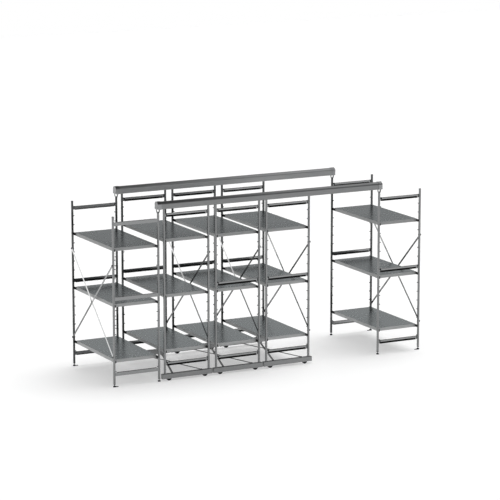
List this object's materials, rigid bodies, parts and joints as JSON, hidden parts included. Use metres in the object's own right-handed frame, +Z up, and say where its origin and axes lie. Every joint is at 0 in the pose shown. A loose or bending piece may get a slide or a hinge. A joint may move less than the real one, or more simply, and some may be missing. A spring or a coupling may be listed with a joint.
{
  "type": "modular shelving unit",
  "caption": "Compact steel shelving row: fixed end racks carry two overhead guide tracks, and wheeled racks between them roll sideways to open an aisle.",
  "frame": {"origin": "on the floor, under the middle of the whole row's box", "axes": "+X along the guide tracks from the left fixed rack to the right one, +Y along the shelves from front to back, +Z up"},
  "size_m": [3.7746, 1.1406, 1.9508],
  "materials": {
    "frame_steel": "bare cold-rolled steel",
    "shelf_steel": "bare sheet steel",
    "brace_steel": "bare strip steel",
    "base_steel": "bare folded steel",
    "track_steel": "bare rolled steel",
    "hanger_steel": "bare folded steel",
    "foot_plastic": "matt",
    "wheel_plastic": "satin"
  },
  "bodies": {
    "root": {"left_front_frame": "frame_steel", "left_back_frame": "frame_steel", "left_bottom_shelf": "shelf_steel", "left_middle_shelf": "shelf_steel", "left_top_shelf": "shelf_steel", "left_cross_brace": "brace_steel", "left_front_anchor_foot": "foot_plastic", "left_front_plain_foot": "foot_plastic", "left_front_track_hanger": "hanger_steel", "left_back_anchor_foot": "foot_plastic", "left_back_plain_foot": "foot_plastic", "left_back_track_hanger": "hanger_steel", "right_front_frame": "frame_steel", "right_back_frame": "frame_steel", "right_bottom_shelf": "shelf_steel", "right_middle_shelf": "shelf_steel", "right_top_shelf": "shelf_steel", "right_cross_brace": "brace_steel", "right_front_anchor_foot": "foot_plastic", "right_front_plain_foot": "foot_plastic", "right_front_track_hanger": "hanger_steel", "right_back_anchor_foot": "foot_plastic", "right_back_plain_foot": "foot_plastic", "right_back_track_hanger": "hanger_steel", "front_track": "track_steel", "back_track": "track_steel"},
    "mobile_1": {"mobile_1_front_frame": "frame_steel", "mobile_1_back_frame": "frame_steel", "mobile_1_bottom_shelf": "shelf_steel", "mobile_1_middle_shelf": "shelf_steel", "mobile_1_top_shelf": "shelf_steel", "mobile_1_cross_brace": "brace_steel", "mobile_1_base_frame": "base_steel"},
    "mobile_1_front_left_wheel": {"mobile_1_front_left_wheel": "wheel_plastic"},
    "mobile_1_front_right_wheel": {"mobile_1_front_right_wheel": "wheel_plastic"},
    "mobile_1_back_left_wheel": {"mobile_1_back_left_wheel": "wheel_plastic"},
    "mobile_1_back_right_wheel": {"mobile_1_back_right_wheel": "wheel_plastic"},
    "mobile_2": {"mobile_2_front_frame": "frame_steel", "mobile_2_back_frame": "frame_steel", "mobile_2_bottom_shelf": "shelf_steel", "mobile_2_middle_shelf": "shelf_steel", "mobile_2_top_shelf": "shelf_steel", "mobile_2_cross_brace": "brace_steel", "mobile_2_base_frame": "base_steel"},
    "mobile_2_front_left_wheel": {"mobile_2_front_left_wheel": "wheel_plastic"},
    "mobile_2_front_right_wheel": {"mobile_2_front_right_wheel": "wheel_plastic"},
    "mobile_2_back_left_wheel": {"mobile_2_back_left_wheel": "wheel_plastic"},
    "mobile_2_back_right_wheel": {"mobile_2_back_right_wheel": "wheel_plastic"},
    "mobile_3": {"mobile_3_front_frame": "frame_steel", "mobile_3_back_frame": "frame_steel", "mobile_3_bottom_shelf": "shelf_steel", "mobile_3_middle_shelf": "shelf_steel", "mobile_3_top_shelf": "shelf_steel", "mobile_3_cross_brace": "brace_steel", "mobile_3_base_frame": "base_steel"},
    "mobile_3_front_left_wheel": {"mobile_3_front_left_wheel": "wheel_plastic"},
    "mobile_3_front_right_wheel": {"mobile_3_front_right_wheel": "wheel_plastic"},
    "mobile_3_back_left_wheel": {"mobile_3_back_left_wheel": "wheel_plastic"},
    "mobile_3_back_right_wheel": {"mobile_3_back_right_wheel": "wheel_plastic"}
  },
  "joints": [
    {"name": "mobile_1_slide", "type": "slide", "parent": "root", "child": "mobile_1", "axis": [1, 0, 0], "range_m": [0, 0.2706]},
    {"name": "mobile_1_front_left_wheel_spin", "type": "hinge", "parent": "mobile_1", "child": "mobile_1_front_left_wheel", "pos_m": [-1.23, -0.53, 0.03], "axis": [0, 1, 0], "continuous": true},
    {"name": "mobile_1_front_right_wheel_spin", "type": "hinge", "parent": "mobile_1", "child": "mobile_1_front_right_wheel", "pos_m": [-0.802, -0.53, 0.03], "axis": [0, 1, 0], "continuous": true},
    {"name": "mobile_1_back_left_wheel_spin", "type": "hinge", "parent": "mobile_1", "child": "mobile_1_back_left_wheel", "pos_m": [-1.23, 0.53, 0.03], "axis": [0, 1, 0], "continuous": true},
    {"name": "mobile_1_back_right_wheel_spin", "type": "hinge", "parent": "mobile_1", "child": "mobile_1_back_right_wheel", "pos_m": [-0.802, 0.53, 0.03], "axis": [0, 1, 0], "continuous": true},
    {"name": "mobile_2_slide", "type": "slide", "parent": "mobile_1", "child": "mobile_2", "axis": [1, 0, 0], "range_m": [0, 0.2706]},
    {"name": "mobile_2_front_left_wheel_spin", "type": "hinge", "parent": "mobile_2", "child": "mobile_2_front_left_wheel", "pos_m": [-0.62, -0.53, 0.03], "axis": [0, 1, 0], "continuous": true},
    {"name": "mobile_2_front_right_wheel_spin", "type": "hinge", "parent": "mobile_2", "child": "mobile_2_front_right_wheel", "pos_m": [-0.192, -0.53, 0.03], "axis": [0, 1, 0], "continuous": true},
    {"name": "mobile_2_back_left_wheel_spin", "type": "hinge", "parent": "mobile_2", "child": "mobile_2_back_left_wheel", "pos_m": [-0.62, 0.53, 0.03], "axis": [0, 1, 0], "continuous": true},
    {"name": "mobile_2_back_right_wheel_spin", "type": "hinge", "parent": "mobile_2", "child": "mobile_2_back_right_wheel", "pos_m": [-0.192, 0.53, 0.03], "axis": [0, 1, 0], "continuous": true},
    {"name": "mobile_3_slide", "type": "slide", "parent": "mobile_2", "child": "mobile_3", "axis": [1, 0, 0], "range_m": [0, 0.2706]},
    {"name": "mobile_3_front_left_wheel_spin", "type": "hinge", "parent": "mobile_3", "child": "mobile_3_front_left_wheel", "pos_m": [-0.01, -0.53, 0.03], "axis": [0, 1, 0], "continuous": true},
    {"name": "mobile_3_front_right_wheel_spin", "type": "hinge", "parent": "mobile_3", "child": "mobile_3_front_right_wheel", "pos_m": [0.418, -0.53, 0.03], "axis": [0, 1, 0], "continuous": true},
    {"name": "mobile_3_back_left_wheel_spin", "type": "hinge", "parent": "mobile_3", "child": "mobile_3_back_left_wheel", "pos_m": [-0.01, 0.53, 0.03], "axis": [0, 1, 0], "continuous": true},
    {"name": "mobile_3_back_right_wheel_spin", "type": "hinge", "parent": "mobile_3", "child": "mobile_3_back_right_wheel", "pos_m": [0.418, 0.53, 0.03], "axis": [0, 1, 0], "continuous": true}
  ],
  "couplings": [
    {"joint": "mobile_1_front_left_wheel_spin", "follows": "mobile_1_slide", "rad_per_m": 33.333},
    {"joint": "mobile_1_front_right_wheel_spin", "follows": "mobile_1_slide", "rad_per_m": 33.333},
    {"joint": "mobile_1_back_left_wheel_spin", "follows": "mobile_1_slide", "rad_per_m": 33.333},
    {"joint": "mobile_1_back_right_wheel_spin", "follows": "mobile_1_slide", "rad_per_m": 33.333},
    {"joint": "mobile_2_front_left_wheel_spin", "follows": "mobile_2_slide", "rad_per_m": 33.333},
    {"joint": "mobile_2_front_right_wheel_spin", "follows": "mobile_2_slide", "rad_per_m": 33.333},
    {"joint": "mobile_2_back_left_wheel_spin", "follows": "mobile_2_slide", "rad_per_m": 33.333},
    {"joint": "mobile_2_back_right_wheel_spin", "follows": "mobile_2_slide", "rad_per_m": 33.333},
    {"joint": "mobile_3_front_left_wheel_spin", "follows": "mobile_3_slide", "rad_per_m": 33.333},
    {"joint": "mobile_3_front_right_wheel_spin", "follows": "mobile_3_slide", "rad_per_m": 33.333},
    {"joint": "mobile_3_back_left_wheel_spin", "follows": "mobile_3_slide", "rad_per_m": 33.333},
    {"joint": "mobile_3_back_right_wheel_spin", "follows": "mobile_3_slide", "rad_per_m": 33.333}
  ]
}
